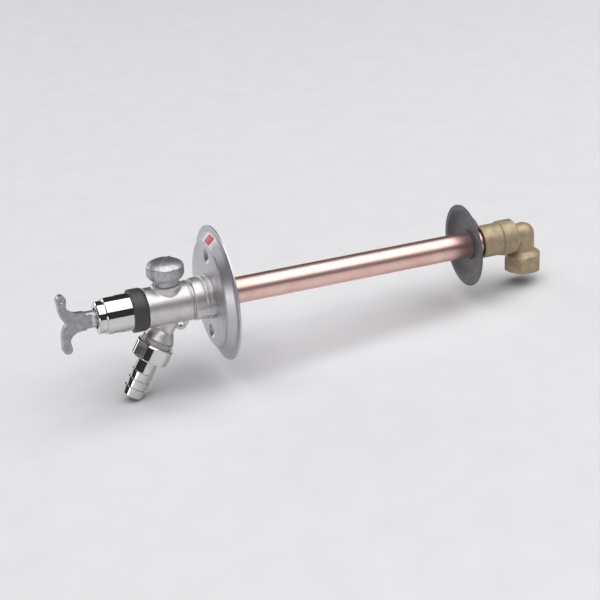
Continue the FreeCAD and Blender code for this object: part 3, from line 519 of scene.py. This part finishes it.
rosetteShape = {
    "outline": [
        (12.8, -8.4), (43.0, -8.4, 1.2), (44.8, -7.9, 0.9), (50.4, -2.2, 0.9), (51.8, -1.6, 0.8),
        (55.6, -1.5, 0.3), (56.0, -1.1, 0.3), (56.0, 0.0, 0.2), (51.2, 0.0, 0.8), (43.4, -7.0, 0.8),
        (42.6, -7.2, 0.8), (12.8, -7.2),
    ],
    "ease": 0.2, "around": 432, "step": 0.7,
    "lift": 1.3,  # the dish sits loose on the tube, a little above its axis
}
rosettePlace = Matrix.Translation((0, 0, rosetteShape["lift"] * mm)) @ tubePlace
screwCups = {"above": 33.4, "below": -33.4, "across": 13.6, "hole": 5.2, "lap": 0.4, "ease": 0.1,
             "around": 72}


def aroundScrews(centres):
    # the sheet is left open where the two screw cups are let in
    heights = centres[:, 2] - rosetteShape["lift"]
    away = [np.hypot(centres[:, 0], heights - screwCups[side]) for side in ("above", "below")]
    return np.minimum(*away) < screwCups["across"] / 2 - screwCups["lap"]


declare(turnedPiece("frontRosette", rosetteShape, rosettePlace, drop=aroundScrews), "wall_rosette")
rim, wall = screwCups["across"] / 2, screwCups["hole"] / 2
screwCups["outline"] = [
    (wall, -4.6), (wall, -5.6, 0.3), (rim - 0.7, -8.1, 0.5), (rim, -8.44, 0.2), (rim + 0.1, -8.38, 0.05),
    (rim + 0.1, -7.15, 0.1), (rim - 0.5, -6.8, 0.4), (wall + 0.8, -4.6, 0.3),
]
for side in ("above", "below"):
    cupPlace = Matrix.Translation((0, 0, screwCups[side] * mm)) @ rosettePlace
    declare(turnedPiece("screwCup_" + side, screwCups, cupPlace), "wall_rosette", replaced=False)
tubeShape = {"outline": [(10.0, -23.0), (11.0, -23.0), (11.0, 252.0), (10.0, 252.0)], "ease": 0.1,
             "around": 128, "step": 8.0}
declare(turnedPiece("wallTube", tubeShape, tubePlace), "copper_tube")
print("rosette and tube made")

innerShape = {
    "outline": [
        (11.05, 225.0), (12.4, 225.0, 0.4), (12.8, 227.4, 0.5), (26.4, 226.4, 2.5), (30.6, 222.6, 1.0),
        (31.4, 222.0, 0.5), (35.4, 222.0, 0.3), (35.4, 223.1, 0.3), (31.4, 223.4, 1.0), (27.0, 227.6, 2.5),
        (14.0, 229.0, 0.5), (13.4, 231.0, 0.3), (11.05, 231.0),
    ],
    "ease": 0.2, "around": 180,
}
declare(turnedPiece("innerRosette", innerShape, tubePlace), "rear_rosette")
lugShape = {"angles": (76, 256), "half": 19, "from": 22.8, "to": 25.2, "front": 226.8, "back": 230.4,
            "power": 0.35}
lugMiddle = (lugShape["from"] + lugShape["to"]) / 2, (lugShape["front"] + lugShape["back"]) / 2
lugHalf = (lugShape["to"] - lugShape["from"]) / 2, (lugShape["back"] - lugShape["front"]) / 2
for number, angle in enumerate(lugShape["angles"]):
    # a rounded block bent round the tube's axis: its long side is an angle, its others a radius and a station
    block = roundedUnit(lugShape["power"])
    bend = np.radians(angle + lugShape["half"] * block[..., 2])
    reach = lugMiddle[0] + block[..., 0] * lugHalf[0]
    station = lugMiddle[1] + block[..., 1] * lugHalf[1]
    points = np.stack([reach * np.cos(bend), station, reach * np.sin(bend)], axis=-1)
    declare(gridPiece(f"innerLug_{number}", points), "rear_rosette", replaced=False)
elbowShape = {"voxelMm": 0.4, "rounds": 2, "factor": 0.3}
declare(castCopy("elbowCasting", "elbow", elbowShape), "elbow")
print("inner rosette and elbow made")

studio = {
    "floorRise": 5.3,  # degrees: the tap rests on its hose tail, so the surface rises slowly under the tube
    "floorPlaceMm": (0, -84, -79.2), "floorSize": 14.0, "floorColour": "#e1e1e3", "floorSecond": "#d8d8da",
    "overhead": {"place": (1.0, 1.05, 3.15), "size": (4.8, 6.6), "watts": 225.0, "aim": (1.0, 1.05, 0.0)},
    "fill": {"place": (-0.9, -1.9, 1.5), "size": (0.7, 0.7), "watts": 2.5, "aim": (0.0, 0.05, 0.0)},
    "farCard": {"place": (-1.9, -1.0, 0.55), "size": (1.3, 1.0), "watts": 9.0, "aim": (0.0, 0.0, 0.0)},
    "frontCard": {"place": (0.85, -2.2, -0.04), "size": (1.1, 0.5), "watts": 7.0, "aim": (0.0, 0.0, 0.0)},
    "room": "#8f9093", "roomStrength": 0.15,
}
floorMesh = bpy.data.meshes.new("floor")
half = studio["floorSize"] / 2
floorCorners = [(-half, -half, 0), (half, -half, 0), (half, half, 0), (-half, half, 0)]
floorMesh.from_pydata(floorCorners, [], [(0, 1, 2, 3)])
floor = bpy.data.objects.new("floor", floorMesh)
bpy.context.scene.collection.objects.link(floor)
floor.rotation_euler = Euler((math.radians(studio["floorRise"]), 0, 0))
floor.location = Vector(studio["floorPlaceMm"]) * mm
paper = bpy.data.materials.new("seamlessPaper")  # matte card with the faintest mottle
paper.use_nodes = True
paperTree = paper.node_tree
paperShader = paperTree.nodes["Principled BSDF"]
paperSpot = addNode(paperTree, "ShaderNodeTexCoord").outputs["Object"]
paperNoise = addNode(paperTree, "ShaderNodeTexNoise", {"Vector": paperSpot, "Scale": 30.0, "Detail": 4.0})
paperTone = addNode(paperTree, "ShaderNodeMix",
                    {0: paperNoise.outputs["Fac"], 6: linearColour(studio["floorColour"]),
                     7: linearColour(studio["floorSecond"])}, data_type="RGBA")
paperTree.links.new(paperTone.outputs[2], paperShader.inputs["Base Color"])
paperShader.inputs["Roughness"].default_value = 0.9
floorMesh.materials.append(paper)


def softbox(name, light):
    data = bpy.data.lights.new(name, "AREA")
    data.shape = "RECTANGLE"
    data.size, data.size_y = light["size"]
    data.energy = light["watts"]
    lamp = bpy.data.objects.new(name, data)
    bpy.context.scene.collection.objects.link(lamp)
    lamp.location = light["place"]
    lamp.rotation_euler = (Vector(light["place"]) - Vector(light["aim"])).to_track_quat("Z", "Y").to_euler()


for lampName in ("overhead", "fill", "farCard", "frontCard"):
    softbox(lampName, studio[lampName])
world = bpy.data.worlds.new("studioRoom")
world.use_nodes = True
world.node_tree.nodes["Background"].inputs["Color"].default_value = linearColour(studio["room"])
world.node_tree.nodes["Background"].inputs["Strength"].default_value = studio["roomStrength"]
bpy.context.scene.world = world
bpy.context.scene.view_settings.view_transform = "Standard"

viewpoint = {"azimuth": 69.98, "elevation": 24.18, "roll": -2.97, "distance": 1.3972, "lens": 102.41,
             "aim": (0.0259, 0.06095, -0.00776)}
azimuth, elevation = math.radians(viewpoint["azimuth"]), math.radians(viewpoint["elevation"])
away = Vector((math.sin(azimuth) * math.cos(elevation), -math.cos(azimuth) * math.cos(elevation),
               math.sin(elevation)))
sight = bpy.data.cameras.new("camera")
sight.lens = viewpoint["lens"]
sight.sensor_width = 36
camera = bpy.data.objects.new("camera", sight)
bpy.context.scene.collection.objects.link(camera)
camera.location = Vector(viewpoint["aim"]) + away * viewpoint["distance"]
level = (-away).to_track_quat("-Z", "Y").to_matrix()
camera.rotation_euler = (level @ Matrix.Rotation(math.radians(viewpoint["roll"]), 3, "Z")).to_euler()
sight.clip_start, sight.clip_end = 0.01, 50
bpy.context.scene.camera = camera
print("studio set")
